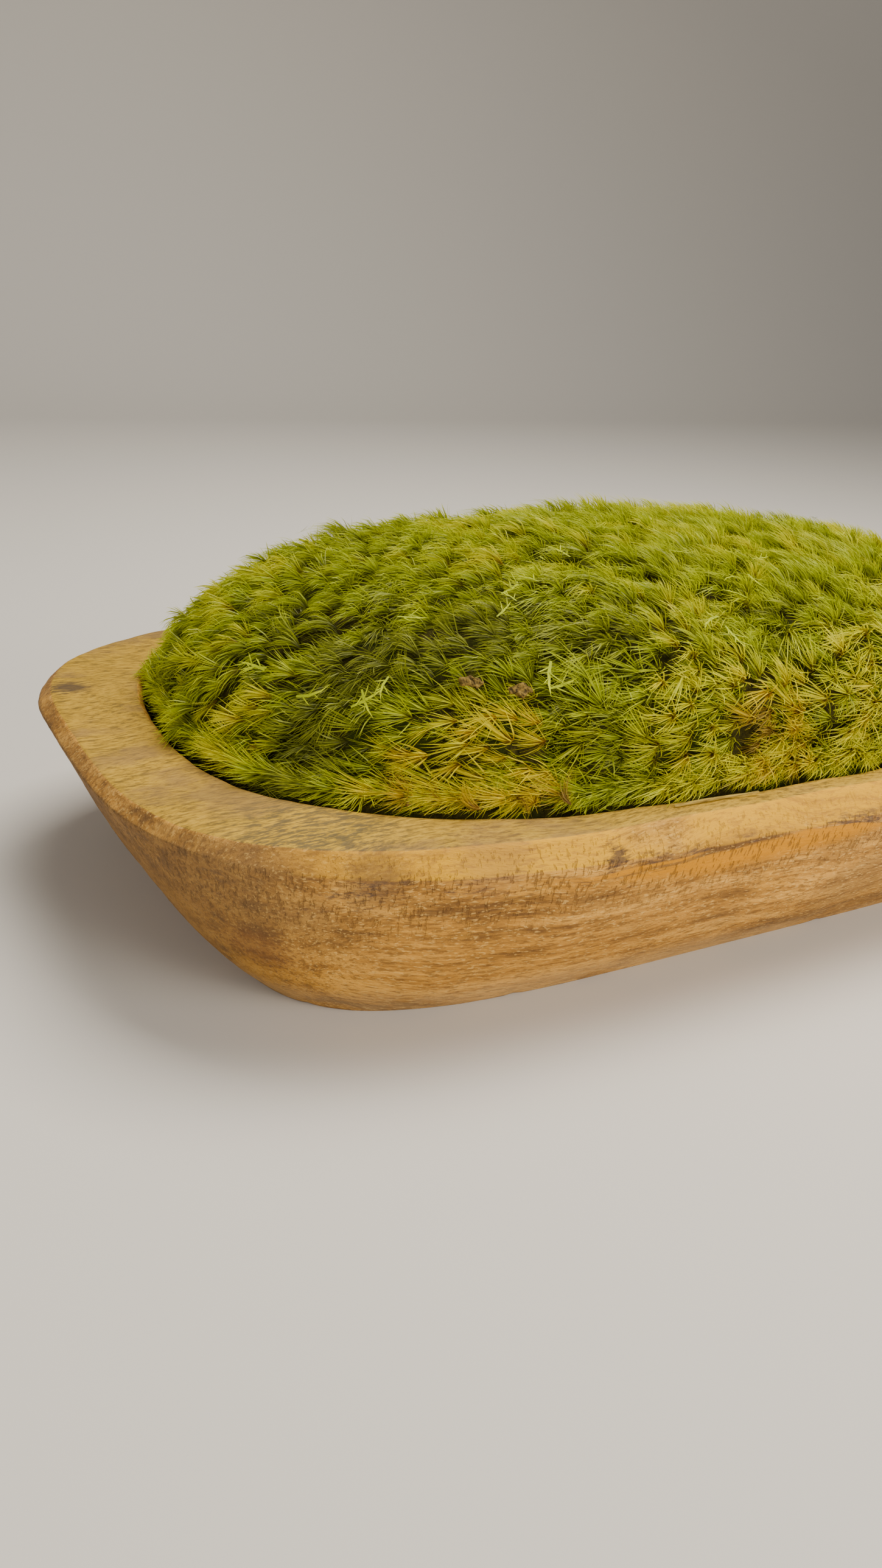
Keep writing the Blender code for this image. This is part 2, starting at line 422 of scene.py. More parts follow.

# %% [markdown]
# What is worn reads from the shape itself. The chamfer is what faces part of the way up and lies
# high, and hands have rubbed it pale. Below it, on the two long walls, runs an orange streak of
# heartwood. Just under the chamfer the wall is darkened in patches, but not on the streak.

# %% The chamfer, the heartwood and the darker wall under the chamfer
CHAMFER_DEPTH = 0.0105  # below the rim's top, where the chamfer ends on the long sides
RUBBED, HEARTWOOD, UNDER_CHAMFER_DARK = (0.60, 0.305, 0.004), (0.51, 0.205, 0.000), (0.085, 0.052, 0.036)

chamfer = wood.times(wood.steps(facing, 0.10, 0.28), wood.steps(facing, 0.95, 0.87),
                     wood.steps(depth, CHAMFER_DEPTH + 0.003, CHAMFER_DEPTH))
rubbed = wood.mixed(wood.times(wood.steps(strokes, 0.49, 0.38), 0.50), RUBBED, GOLD_BROWN)
rubbed = wood.mixed(wood.times(wood.steps(grain, 0.50, 0.38), 0.45), rubbed, GOLD_BROWN)
worn = wood.times(chamfer, wood.steps(blotch, 0.66, 0.46), wood.steps(x, -0.21, -0.13))
colour = wood.mixed(wood.times(worn, 0.88), colour, rubbed)

long_side = wood.steps(wood.maths("ABSOLUTE", y), 0.095, 0.110)
wander = wood.maths("ADD", depth, wood.maths("MULTIPLY_ADD", sway, 0.02, -0.010))
band = wood.times(wood.steps(wander, 0.0085, 0.0105), wood.steps(wander, 0.0205, 0.0140),
                  long_side, wood.steps(along_grain((7, 30, 190), 5.0, 0.6), 0.38, 0.50),
                  wood.steps(x, -0.115, -0.075), wood.steps(chamfer, 0.6, 0.1))
colour = wood.mixed(wood.times(band, 0.90), colour, HEARTWOOD)

# The wall just below the chamfer is darkened in patches, but not on the heartwood streak.
under_chamfer_patchiness = along_grain((36, 70, 190), 6.0, 0.68)
under_chamfer_darkening = wood.times(wood.steps(depth, 0.0050, 0.0095), wood.steps(depth, 0.0240, 0.0120),
                   wood.steps(under_chamfer_patchiness, 0.50, 0.62), wood.steps(strokes, 0.62, 0.42),
                   wood.steps(band, 0.6, 0.0))
colour = wood.mixed(wood.times(under_chamfer_darkening, 0.80), colour, UNDER_CHAMFER_DARK)
print("with the chamfer:", len(wood.tree.nodes), "nodes")

# %% [markdown]
# The rim is all that faces straight up. It is yellower, full of short flecks, stained in places,
# and grey at one corner, where the oil has worn off.

# %% The rim
RIM_TAN, RIM_FLECK, RIM_PALE = (0.35, 0.205, 0.015), (0.165, 0.102, 0.016), (0.45, 0.275, 0.028)
RIM_STAIN, RIM_GREY = (0.190, 0.115, 0.048), (0.105, 0.085, 0.042)
GREY_CORNER = (-0.168, -0.086, 0.065)

rim = wood.ramp(strokes, [(0.38, RIM_FLECK), (0.48, RIM_TAN), (0.62, RIM_PALE)])
rim = wood.mixed(wood.times(wood.steps(specks, 0.46, 0.34), 0.5), rim, RIM_FLECK)
stain = wood.noise(wood.place((24, 36, 36)), 1.0, detail=6.0, rough=0.62)
rim = wood.mixed(wood.times(wood.steps(stain, 0.50, 0.64), 0.60), rim, RIM_STAIN)
grey = wood.times(wood.steps(wood.apart(wood_spot, GREY_CORNER), 0.036, 0.010),
                  wood.steps(strokes, 0.57, 0.45))
rim = wood.mixed(wood.times(grey, 0.75), rim, RIM_GREY)
colour = wood.mixed(wood.times(wood.steps(facing, 0.88, 0.95), 0.9), colour, rim)
print("with the rim:", len(wood.tree.nodes), "nodes")

# %% [markdown]
# Last come the things that stand alone: the ticks that a scraper leaves across the grain, painted
# shade that darkens the left end, the dusty foot, and single marks, each with an edge made ragged
# by the strokes.

# %% Ticks, ends and marks
TICK_SLANT = radians(13)
LEFT_END_SHADE, DUSTY = (0.150, 0.086, 0.036), (0.40, 0.27, 0.125)
MARKS = [  # place, radius, strength, colour: a knot, a stain, a bruise, a dent and a scar
    ((-0.201, 0.048, 0.064), 0.0062, 0.85, (0.060, 0.040, 0.026)),
    ((-0.157, -0.104, 0.056), 0.0080, 0.42, (0.090, 0.056, 0.034)),
    ((-0.123, -0.111, 0.0615), 0.0090, 0.32, (0.190, 0.100, 0.050)),
    ((-0.084, -0.1165, 0.0570), 0.0034, 0.85, (0.070, 0.042, 0.030)),
    ((-0.181, -0.082, 0.030), 0.0080, 0.42, (0.140, 0.052, 0.020)),
]
STROKE_EDGE, BLOTCH_EDGE = 0.012, 0.016  # how far strokes and blotches push the edge of a mark

tick_place = wood.place((950, 950, 130), (0, TICK_SLANT, 0))
ticks = wood.steps(wood.noise(tick_place, 1.0, detail=3.0, rough=0.6), 0.56, 0.64)
ticks = wood.times(ticks, wood.steps(facing, 0.7, 0.3), wood.steps(depth, 0.034, 0.018))
colour = wood.mixed(wood.times(ticks, 0.6), colour, UMBER)

# Painted shade: the walls and chamfer at the left end are darkened to stand in for the shade on that
# end.
painted_left_end_shade = wood.times(wood.steps(x, -0.160, -0.200), wood.steps(facing, 0.9, 0.5))
colour = wood.mixed(wood.times(painted_left_end_shade, 0.65), colour, LEFT_END_SHADE)
foot = wood.times(wood.steps(z, 0.016, 0.004), wood.steps(blotch, 0.62, 0.42))
colour = wood.mixed(wood.times(foot, 0.45), colour, DUSTY)

for place, radius, strength, mark in MARKS:
    ragged = wood.apart(wood_spot, place)
    for pattern, reach in ((strokes, STROKE_EDGE), (blotch, BLOTCH_EDGE)):
        ragged = wood.maths("MULTIPLY_ADD", pattern, reach,
                            wood.maths("ADD", ragged, -reach / 2))
    share = wood.steps(ragged, radius * 1.6, radius * 0.5)
    colour = wood.mixed(wood.times(share, strength), colour, mark)
print("with the marks:", len(wood.tree.nodes), "nodes")

# %% [markdown]
# The same patterns raise the surface: strokes and specks stand up a little, and ticks are cut in.
# Oiled wood mirrors only weakly, so the shader's mirror level is low.

# %% Join the wood's finish
SHINE = 0.12  # how strongly the oiled wood mirrors, as the shader counts it
RELIEF = 0.0008

wood.put(wood.shader.inputs["Base Color"], colour)
wood.put(wood.shader.inputs["Roughness"],
         wood.node("ShaderNodeMapRange", i0=grain, i3=0.72, i4=0.55))
wood.put(wood.shader.inputs["Specular IOR Level"], SHINE)
relief = wood.maths("MULTIPLY_ADD", strokes, 0.6, wood.times(specks, 0.4))
relief = wood.maths("MULTIPLY_ADD", ticks, -0.5, relief)
wood.bump(relief, RELIEF, 0.8)
finish_as(bowl, wood.material, ["bowl"])

# %% [markdown]
# ## One leaf, then one shoot
#
# A moss leaf is a narrow blade, nine to fourteen millimetres long, with a hair-fine tip. There are
# well over a hundred thousand of them here, so one leaf may only have three faces: a grid one face
# wide and three long, with its last two corners merged. Its UV map runs from the base, at V = 0, to
# the tip. U is kept thin on purpose, because later it says how green or golden the leaf is.

# %% Model a leaf
LEAF_LENGTH, LEAF_WIDTH = 0.0128, 0.00048
LEAF_PROFILE = [0.70, 1.0, 0.68, 0.3]  # its width from base to tip, before the tip is merged
HUE_WIDTH = 0.012  # how much of the colour chart's width one leaf covers
LEAF_MAP = "OFBake"

bpy.ops.mesh.primitive_grid_add(x_subdivisions=1, y_subdivisions=3, size=1)
leaf = bpy.context.active_object
leaf.name = "leaf"
leaf.data.uv_layers[0].name = LEAF_MAP
for corner in leaf.data.uv_layers[LEAF_MAP].data:
    corner.uv.x *= HUE_WIDTH
for vertex in leaf.data.vertices:
    along = vertex.co.y + 0.5
    width = LEAF_WIDTH * LEAF_PROFILE[round(along * 3)]
    vertex.co = Vector((vertex.co.x * width, 0, along * LEAF_LENGTH))
edit_points(leaf, lambda spot: spot.z > LEAF_LENGTH * 0.9)
bpy.ops.mesh.merge(type="CENTER")
leave_edit()
print("leaf:", len(leaf.data.polygons), "faces")

# %% [markdown]
# A shoot is thirty leaves that leave one base like the ribs of a fan. The outer ones open more,
# and all of them curve over to the same side, +X in the shoot's own space, so that each shoot looks
# like a small brush in the wind. Nine shoots are made, each with other turns and bends, so that
# copies don't show.

# %% Model nine shoots
SHOOT_KINDS, SHOOT_LEAVES = 9, 30
GOLDEN_TURN = radians(137.5)
OPENING = (radians(3), radians(33))  # of the innermost and the outermost leaf
STEM_HEIGHT = 0.0022
DROOP = 0.35  # how much the swept tips come down, against how far they go aside


def shelf(name):
    """A collection that holds the kinds of one small thing, ready to be copied."""
    made = bpy.data.collections.new(name)
    bpy.context.scene.collection.children.link(made)
    return made


def place_leaf(mesh, inner, turn, lean, twist, width=1.0, size=1.0):
    """Bends a leaf outwards and stands it on the stem. inner is 1 for the middle leaf, 0 outside."""
    curl = dice.uniform(-0.02, 0.15) * LEAF_LENGTH
    for vertex in mesh.vertices:
        share = vertex.co.z / LEAF_LENGTH
        vertex.co.x *= width
        vertex.co.y -= curl * share**2
    mesh.transform(
        Matrix.Translation((0, 0, STEM_HEIGHT * inner))
        @ Matrix.Rotation(turn, 4, "Z")
        @ Matrix.Rotation(lean, 4, "X")
        @ Matrix.Rotation(twist, 4, "Z")
        @ Matrix.Scale(size, 4)
    )


def sweep_over(mesh, sweep):
    """Curves a whole shoot over to +X, more and more towards the tips."""
    for vertex in mesh.vertices:
        rise = max(0.0, vertex.co.z) / LEAF_LENGTH
        vertex.co.x += sweep * LEAF_LENGTH * rise**2
        vertex.co.z -= DROOP * sweep * LEAF_LENGTH * rise**3


def join_leaves(leaves, name):
    only(leaves[0])
    for copy in leaves[1:]:
        copy.select_set(True)
    bpy.ops.object.join()
    bpy.context.active_object.name = name
    return bpy.context.active_object


def new_leaf(on_shelf):
    copy = bpy.data.objects.new("leaf_copy", leaf.data.copy())
    on_shelf.objects.link(copy)
    return copy


shoots = shelf("shoots")
for kind in range(SHOOT_KINDS):
    leaves = []
    for number in range(SHOOT_LEAVES):
        inner = 1 - number / SHOOT_LEAVES
        lean = OPENING[1] + (OPENING[0] - OPENING[1]) * inner**1.3 + dice.normal(0, radians(5))
        leaves.append(new_leaf(shoots))
        place_leaf(leaves[-1].data, inner, number * GOLDEN_TURN + kind, lean,
                   dice.normal(0, radians(30)), size=dice.uniform(0.72, 1.10))
    shoot = join_leaves(leaves, f"shoot_{kind}")
    sweep_over(shoot.data, dice.uniform(0.45, 1.0))

# %% [markdown]
# Here and there a sprig of pale feather moss has grown in between. It is flat and forked like a
# small antler. Five kinds are put together from the same leaf, made wider: one long blade for the
# stem, and shorter ones that leave it to the left and the right.

# %% Model five sprigs
SPRIG_KINDS, SPRIG_WIDTH, SPRIG_LENGTH = 5, 2.1, 1.3  # width and length against a leaf's
FIRST_FORK, FORK_STEP = 0.22, 0.20  # where the side branches leave the stem, in leaf lengths

sprigs = shelf("sprigs")
for kind in range(SPRIG_KINDS):
    leaves = [new_leaf(sprigs)]
    place_leaf(leaves[0].data, 0, 0, 0, 0, SPRIG_WIDTH, SPRIG_LENGTH)
    for number in range(3 + kind % 3):
        side = 1 if number % 2 else -1
        leaves.append(new_leaf(sprigs))
        place_leaf(leaves[-1].data, 0, radians(90 + dice.normal(0, 12)),
                   side * radians(dice.uniform(28, 50)), radians(90), SPRIG_WIDTH,
                   dice.uniform(0.38, 0.62))
        fork = (FIRST_FORK + FORK_STEP * number) * LEAF_LENGTH
        leaves[-1].data.transform(Matrix.Translation((0, 0, fork)))
    sprig = join_leaves(leaves, f"sprig_{kind}")
    sweep_over(sprig.data, dice.uniform(0.1, 0.35))
bpy.data.objects.remove(leaf)

# %% [markdown]
# ## Where the shoots stand
#
# All the cushions together make one smooth mound: a superellipse from above that swells up to a
# round top. Knowing the mound's own shape tells at any point which way is out, and leaves that
# follow it run on over the seams between the cushions.

# %% The mound's own shape
CUSHIONS = sorted(name for name in nodes if name.startswith("moss_cushion_"))
highs = [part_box(name)[1] for name in CUSHIONS]
MOUND_X, MOUND_Y = max(high.x for high in highs), max(high.y for high in highs)
MOUND_TOP = max(high.z for high in highs)
MOUND_POWER, MOUND_ROUNDNESS = 2.45, 3.0  # the mound seen from above, and seen from the side
print("mound:", round(2 * MOUND_X, 3), "by", round(2 * MOUND_Y, 3))


def mound_way_out(points):
    """The directions that face out of the mound at these points, as a smooth field."""
    x, y = points[:, 0] / MOUND_X, points[:, 1] / MOUND_Y
    out = np.clip((abs(x) ** MOUND_POWER + abs(y) ** MOUND_POWER) ** (1 / MOUND_POWER), 1e-3, 1)
    steep = out ** (MOUND_ROUNDNESS - MOUND_POWER)
    up = np.clip((points[:, 2] - RIM_TOP) / (MOUND_TOP - RIM_TOP), 0.02, 1)
    way = np.stack([
        steep * np.sign(x) * abs(x) ** (MOUND_POWER - 1) / MOUND_X,
        steep * np.sign(y) * abs(y) ** (MOUND_POWER - 1) / MOUND_Y,
        up ** (MOUND_ROUNDNESS - 1) / (MOUND_TOP - RIM_TOP),
    ], axis=1)
    return way / np.linalg.norm(way, axis=1, keepdims=True)


# %% [markdown]
# The frame's cushions reach to the leaf tips, so the moss must grow up to them from inside. Points
# are drawn evenly over their outer faces. The flat faces where two cushions press together carry
# no moss: they are the ones that don't look the way the mound as a whole looks there.

# %% Spots for the tufts
TUFT_SPACING = 0.0060
LEAST_FACING = 0.4  # how much an outer face has to look the mound's way
TRIES = 9  # random points drawn for every one that could fit


def outer_triangles(name):
    """The triangles of a cushion that carry leaves: (corners, areas)."""
    mesh = nodes[name].data
    mesh.calc_loop_triangles()
    spots = np.array([vertex.co for vertex in mesh.vertices])
    corners = spots[np.array([triangle.vertices for triangle in mesh.loop_triangles])]
    normals = np.cross(corners[:, 1] - corners[:, 0], corners[:, 2] - corners[:, 0])
    areas = np.linalg.norm(normals, axis=1) / 2
    middles = corners.mean(axis=1)
    facing = (normals * mound_way_out(middles)).sum(axis=1) / (2 * areas + 1e-12)
    kept = (middles[:, 2] > RIM_TOP + 0.001) & (facing > LEAST_FACING)
    return corners[kept], areas[kept]


def even_spots(corners, areas, spacing):
    """Points on the triangles, as many as fit while none is nearer to another than spacing."""
    tries = int(areas.sum() / spacing**2 * TRIES)
    picked = dice.choice(len(areas), tries, p=areas / areas.sum())
    one, two = dice.random((2, tries, 1))
    fold = one + two > 1
    one, two = np.where(fold, 1 - one, one), np.where(fold, 1 - two, two)
    a, b, c = corners[picked, 0], corners[picked, 1], corners[picked, 2]
    spots = a + (b - a) * one + (c - a) * two
    kept = np.empty((0, 3))
    for spot in spots:
        if not len(kept) or ((kept - spot) ** 2).sum(axis=1).min() > spacing**2:
            kept = np.vstack([kept, spot])
    return kept


tufts = {}
for name in CUSHIONS:
    tufts[name] = even_spots(*outer_triangles(name), TUFT_SPACING)
    print(name, len(tufts[name]), "tufts")

# %% [markdown]
# Colour follows one number, the hue, from 0 (deep olive, where the moss is shaded) through 0.5
# (fresh yellow-green) to 0.8 (golden) and 1 (brown and dead). It drifts slowly over the mound,
# differs a little from tuft to tuft, and is pulled to other values in patches: the front cushion
# is golden with a brown hem, and the one beside it is olive.

# %% Patches of colour
PATCHES = [  # x, y, radius in millimetres, hue
    (-115, -92, 21, 0.75), (-143, -78, 14, 0.70), (-97, -96, 12, 0.77), (-130, -88, 10, 0.76),
    (-178, -40, 13, 0.68), (-47, -104, 15, 0.66), (-20, -100, 12, 0.70), (30, -100, 20, 0.68),
    (-139, -84, 5, 0.95), (-124, -97, 4, 0.93), (-94, -101, 5, 0.94), (2, -103, 9, 0.90),
    (-116, -41, 5, 0.92), (-15, -107, 6, 0.92), (70, -98, 10, 0.84), (120, -60, 14, 0.70),
    (-134, -53, 22, 0.18), (-157, -63, 15, 0.20), (-102, -58, 18, 0.18), (-62, -74, 12, 0.26),
    (-88, -88, 6, 0.20), (-150, -22, 16, 0.36), (-74, -102, 9, 0.42), (40, 85, 22, 0.66),
    (-90, 80, 18, 0.32), (130, 50, 20, 0.30), (-20, 98, 10, 0.88), (150, -20, 16, 0.60),
]
FRESH = 0.50
PATCH_REACH = 1.35  # a patch fades out at this many radii from its middle


def hue_at(spot):
    """The moss's hue over a point: slow drift, then the patches, the strongest near their middle."""
    slow = np.sin(spot[0] * 61 + 1.3 * np.sin(spot[1] * 47)) * np.cos(spot[1] * 53 + 0.7)
    quick = np.sin(spot[0] * 173 + spot[1] * 141) * np.sin(spot[1] * 211 - spot[0] * 90)
    hue = FRESH + 0.07 * slow + 0.06 * quick
    for x, y, radius, target in PATCHES:
        distance = np.hypot(spot[0] - x / 1000, spot[1] - y / 1000) / (radius / 1000)
        pull = np.clip(PATCH_REACH - distance, 0, 1)
        hue += (target - hue) * pull
    return hue


print("hue at the top:", round(float(hue_at(np.array([0, 0, 0.12]))), 2))

# %% [markdown]
# The moss is combed one way, to the left and a little back, with swirls in it. A shoot's turn needs
# two directions: the one it grows in, and the one its leaves sweep over to.

# %% The way the moss is combed
COMBED = np.array([-0.86, 0.34, -0.10])


def unit(vector):
    return vector / (np.linalg.norm(vector) + 1e-9)


def comb_at(spot, out):
    """The way the moss is combed at a point: along the surface, and swirling a little."""
    swirl = 0.50 * np.sin(spot[0] * 83 + 1.9 * np.sin(spot[1] * 71)) + dice.normal(0, 0.22)
    turned = np.array([
        COMBED[0] * cos(swirl) - COMBED[1] * sin(swirl),
        COMBED[0] * sin(swirl) + COMBED[1] * cos(swirl),
        COMBED[2],
    ])
    return unit(turned - out * (turned @ out))


def shoot_turn(grows, sweeps):
    """The turn that takes +Z to the way a shoot grows and +X to the side it sweeps over to."""
    grows = unit(grows)
    side = unit(sweeps - grows * (sweeps @ grows))
    return Matrix(np.stack([side, np.cross(grows, side), grows], axis=1)).to_quaternion()


print("combed to", [float(round(c, 2)) for c in unit(COMBED)])

# %% [markdown]
# Each spot gets a shoot that reaches the mound's skin and an older, shorter one a little beside and
# below it. They lean most at the left end and along the front, and least on the broad top. The
# lowest ones stand up again, and dead ones point anywhere.

# %% Plan the shoots
ROOT_DEPTH = 0.0088  # from a shoot's root to the mound's skin
ROOT_BACK = 0.004  # how far the root of a leaning shoot is set back, to keep its tip in place
LEAST_LEAN, MOST_LEAN = 0.16, 1.00
TIERS = ((0.0, 0.0, 1.0, 0.0), (0.0026, 0.0028, 0.88, -0.18))  # aside, deeper, size, hue
GROWTH_STRAY, SWEEP_STRAY, HUE_STRAY, DEAD_STRAY = 0.13, 0.28, 0.055, 0.5  # how unruly it is
SHOULDER_DROP, CROWN_RISE = 0.0022, 0.0024
LOW_HEIGHT, LOW_LEAN = 0.006, 0.45  # shoots this near the rim lean only this much as far
EDGE_HEIGHT, EDGE_UPRIGHT = 0.012, 0.30  # and these never grow flatter than this


def sunk(spots):
    """How much lower the moss stays: the mound's left shoulder is flat and its top is full."""
    left = np.clip((-0.08 - spots[:, 0]) / 0.06, 0, 1)
    high = np.clip((spots[:, 2] - 0.085) / 0.02, 0, 1)
    top = np.clip((spots[:, 2] - 0.100) / 0.012, 0, 1)
    return SHOULDER_DROP * left * high - CROWN_RISE * top


def plan_shoots(spots):
    """Places, turns, sizes and hues of all the shoots that grow under these tips."""
    plan = []
    for spot, out, lower in zip(spots, mound_way_out(spots), sunk(spots)):
        comb = comb_at(spot, out)
        left = np.clip((0.02 - spot[0]) / 0.14, 0, 1)
        front = np.clip((-spot[1] - 0.05) / 0.04, 0, 1)
        lean = LEAST_LEAN + (MOST_LEAN - LEAST_LEAN) * max(left, 0.6 * front)
        lean *= dice.uniform(0.7, 1.3) * (LOW_LEAN if spot[2] < RIM_TOP + LOW_HEIGHT else 1.0)
        own_hue = hue_at(spot) + dice.normal(0, HUE_STRAY)
        dead = np.clip((own_hue - 0.9) * 12, 0, 1)
        for aside, deeper, size, hue in TIERS:
            offset = dice.normal(0, aside + 1e-6, 3)
            offset -= out * (offset @ out)
            depth = ROOT_DEPTH + deeper + lower + dice.uniform(-0.0008, 0.0014)
            grows = out + comb * lean + dice.normal(0, GROWTH_STRAY + DEAD_STRAY * dead, 3)
            if spot[2] < RIM_TOP + EDGE_HEIGHT:
                grows[2] = max(grows[2], EDGE_UPRIGHT)
            root = spot - out * depth - comb * ROOT_BACK * lean + offset
            plan.append((root, shoot_turn(grows, comb + dice.normal(0, SWEEP_STRAY, 3)),
                         size * dice.uniform(0.82, 1.12) * (1 - 0.2 * dead), own_hue + hue))
    return plan


print("tiers:", len(TIERS))

# %% [markdown]
# Along the bowl's mouth a hem of extra shoots leans out over the wood, so that no dark gap shows
# between the moss and the rim. The mouth is a superellipse, and the hem's spots are equally spaced
# along it. Each belongs to the cushion whose tufts are nearest.

# %% The hem
MOUTH_X, MOUTH_Y, MOUTH_POWER = 0.183, 0.106, 2.75
HEM_SPACING, HEM_INSET, HEM_RISE = 0.0040, -0.0012, 0.0030  # an inset below 0 lies over the rim


def hem_spots():
    """Spots along the bowl's mouth, one every HEM_SPACING."""
    turns = np.linspace(0, 2 * pi, 4000)
    power = 2 / MOUTH_POWER
    x = (MOUTH_X - HEM_INSET) * np.sign(np.cos(turns)) * abs(np.cos(turns)) ** power
    y = (MOUTH_Y - HEM_INSET) * np.sign(np.sin(turns)) * abs(np.sin(turns)) ** power
    run = np.concatenate([[0], np.cumsum(np.hypot(np.diff(x), np.diff(y)))])
    steps = np.arange(0, run[-1], HEM_SPACING)
    return np.stack([np.interp(steps, run, x), np.interp(steps, run, y),
                     np.full(len(steps), RIM_TOP + HEM_RISE)], axis=1)


every_spot = np.vstack(list(tufts.values()))
owner = np.repeat(list(tufts), [len(spots) for spots in tufts.values()])
hem = hem_spots()
nearest = np.array([((every_spot - spot) ** 2).sum(axis=1).argmin() for spot in hem])
for name in CUSHIONS:
    tufts[name] = np.vstack([tufts[name], hem[owner[nearest] == name]])
print("hem:", len(hem), "shoots more")

# %% [markdown]
# Geometry Nodes stands a shoot on every point, and Realize Instances turns the copies into plain
# mesh. The last node slides each leaf's UVs along U by the shoot's hue, so one small chart of
# colours serves the whole mound.

# %% The planting nodes
def planting_nodes(kinds):
    """Nodes that stand one of the kinds on every point of a mesh."""
    group = bpy.data.node_groups.new("plant_" + kinds.name, "GeometryNodeTree")
    for way in ("INPUT", "OUTPUT"):
        group.interface.new_socket("Geometry", in_out=way, socket_type="NodeSocketGeometry")
    add, link = group.nodes.new, group.links.new

    def stored(name, kind):
        node = add("GeometryNodeInputNamedAttribute")
        node.data_type = kind
        node.inputs["Name"].default_value = name
        return node.outputs["Attribute"]

    choice = add("GeometryNodeCollectionInfo")
    choice.inputs["Collection"].default_value = kinds
    choice.inputs["Separate Children"].default_value = True
    choice.inputs["Reset Children"].default_value = True
    plant = add("GeometryNodeInstanceOnPoints")
    plant.inputs["Pick Instance"].default_value = True
    link(add("NodeGroupInput").outputs[0], plant.inputs["Points"])
    link(choice.outputs[0], plant.inputs["Instance"])
    link(stored("kind", "INT"), plant.inputs["Instance Index"])
    link(stored("turn", "QUATERNION"), plant.inputs["Rotation"])
    link(stored("size", "FLOAT"), plant.inputs["Scale"])
    realize = add("GeometryNodeRealizeInstances")
    link(plant.outputs[0], realize.inputs[0])
    slide = add("ShaderNodeCombineXYZ")
    link(stored("hue", "FLOAT"), slide.inputs[0])
    moved = add("ShaderNodeVectorMath")
    link(stored(LEAF_MAP, "FLOAT_VECTOR"), moved.inputs[0])
    link(slide.outputs[0], moved.inputs[1])
    keep = add("GeometryNodeStoreNamedAttribute")
    keep.data_type = "FLOAT2"
    keep.domain = "CORNER"
    keep.inputs["Name"].default_value = LEAF_MAP
    link(realize.outputs[0], keep.inputs["Geometry"])
    link(moved.outputs[0], keep.inputs["Value"])
    link(keep.outputs[0], add("NodeGroupOutput").inputs[0])
    return group


PLANTING = {kinds: planting_nodes(kinds) for kinds in (shoots, sprigs)}
HUE_SPAN = (0.004, 0.984)


def plant(name, plan, kinds):
    """A mesh of leaves from a plan of (root, turn, size, hue)."""
    roots, turns, sizes, hues = zip(*plan)
    mesh = bpy.data.meshes.new(name)
    mesh.from_pydata([tuple(root) for root in roots], [], [])
    for key, sort, values in (
        ("turn", "QUATERNION", np.array(turns)),
        ("size", "FLOAT", np.array(sizes)),
        ("hue", "FLOAT", np.clip(hues, *HUE_SPAN)),
        ("kind", "INT", dice.integers(0, len(kinds.objects), len(plan))),
    ):
        mesh.attributes.new(key, sort, "POINT").data.foreach_set("value", values.ravel())
    piece = bpy.data.objects.new(name, mesh)
    bpy.context.scene.collection.objects.link(piece)
    piece.modifiers.new("planting", "NODES").node_group = PLANTING[kinds]
    apply_modifiers(piece)
    for key in ("turn", "size", "hue", "kind"):
        if key in piece.data.attributes:
            piece.data.attributes.remove(piece.data.attributes[key])
    return piece


print("planting nodes:", [len(group.nodes) for group in PLANTING.values()])

# %% [markdown]
# The leaf colour is a chart: across it runs the hue, and up it runs the way from base to tip.
# Three ramps give the colour at the base, half way up and at the tip for every hue, and V blends
# them. Leaves are thin enough to glow when lit from behind, so part of the light goes through, and
# they shine about twice as much as the wood.

# %% The leaves' finish
BASE_COLOURS = [(0.0, (0.036, 0.036, 0.008)), (0.5, (0.070, 0.070, 0.003)),
                (0.80, (0.36, 0.185, 0.000)), (1.0, (0.14, 0.070, 0.018))]
MIDDLE_COLOURS = [(0.0, (0.132, 0.142, 0.013)), (0.28, (0.195, 0.212, 0.009)),
                  (0.5, (0.295, 0.345, 0.000)), (0.68, (0.54, 0.50, 0.000)),
                  (0.80, (0.65, 0.50, 0.000)), (0.92, (0.42, 0.285, 0.004)),
                  (1.0, (0.20, 0.120, 0.022))]
TIP_COLOURS = [(0.0, (0.41, 0.43, 0.052)), (0.28, (0.50, 0.52, 0.030)),
               (0.5, (0.60, 0.67, 0.004)), (0.68, (0.84, 0.79, 0.010)),
               (0.80, (0.80, 0.70, 0.000)), (0.92, (0.62, 0.48, 0.020)), (1.0, (0.46, 0.31, 0.060))]
GLOW = 0.40  # the share of the light that goes through a leaf


def leaf_finish():
    moss = Finish("moss_leaves")
    hue, along, _ = moss.split(moss.node("ShaderNodeUVMap", settings={"uv_map": LEAF_MAP}))
    colour = moss.mixed(moss.steps(along, 0.05, 0.50), moss.ramp(hue, BASE_COLOURS),
                        moss.ramp(hue, MIDDLE_COLOURS))
    colour = moss.mixed(moss.steps(along, 0.50, 1.0), colour, moss.ramp(hue, TIP_COLOURS))
    moss.put(moss.shader.inputs["Base Color"], colour)
    moss.put(moss.shader.inputs["Roughness"], 0.45)
    moss.put(moss.shader.inputs["Specular IOR Level"], 2 * SHINE)
    glow = moss.node("ShaderNodeBsdfTranslucent", Color=colour)
    both = moss.node("ShaderNodeMixShader", i0=GLOW, i1=moss.shader.outputs[0], i2=glow)
    moss.put(moss.output.inputs["Surface"], both)
    return moss.material


LEAF_FINISH = leaf_finish()
print("leaf finish:", len(LEAF_FINISH.node_tree.nodes), "nodes")

# %% [markdown]
# Along the near rim lies litter: dry brown shoots that have fallen over. They are the same shoots,
# laid flat in any direction on a line just inside the bowl's edge.
#
# Leaves at the edge would pass through the wood. On the real bowl they lie on the rim, so every
# point that has sunk below the rim outside the bowl's mouth is lifted onto it.

# %% Plant the cushions
LITTER = [(-133, -83), (-127, -86), (-121, -89), (-106, -96), (-99, -98), (-93, -100)]  # x, y, mm
ON_RIM = 0.0006  # how high above the wood a leaf lies


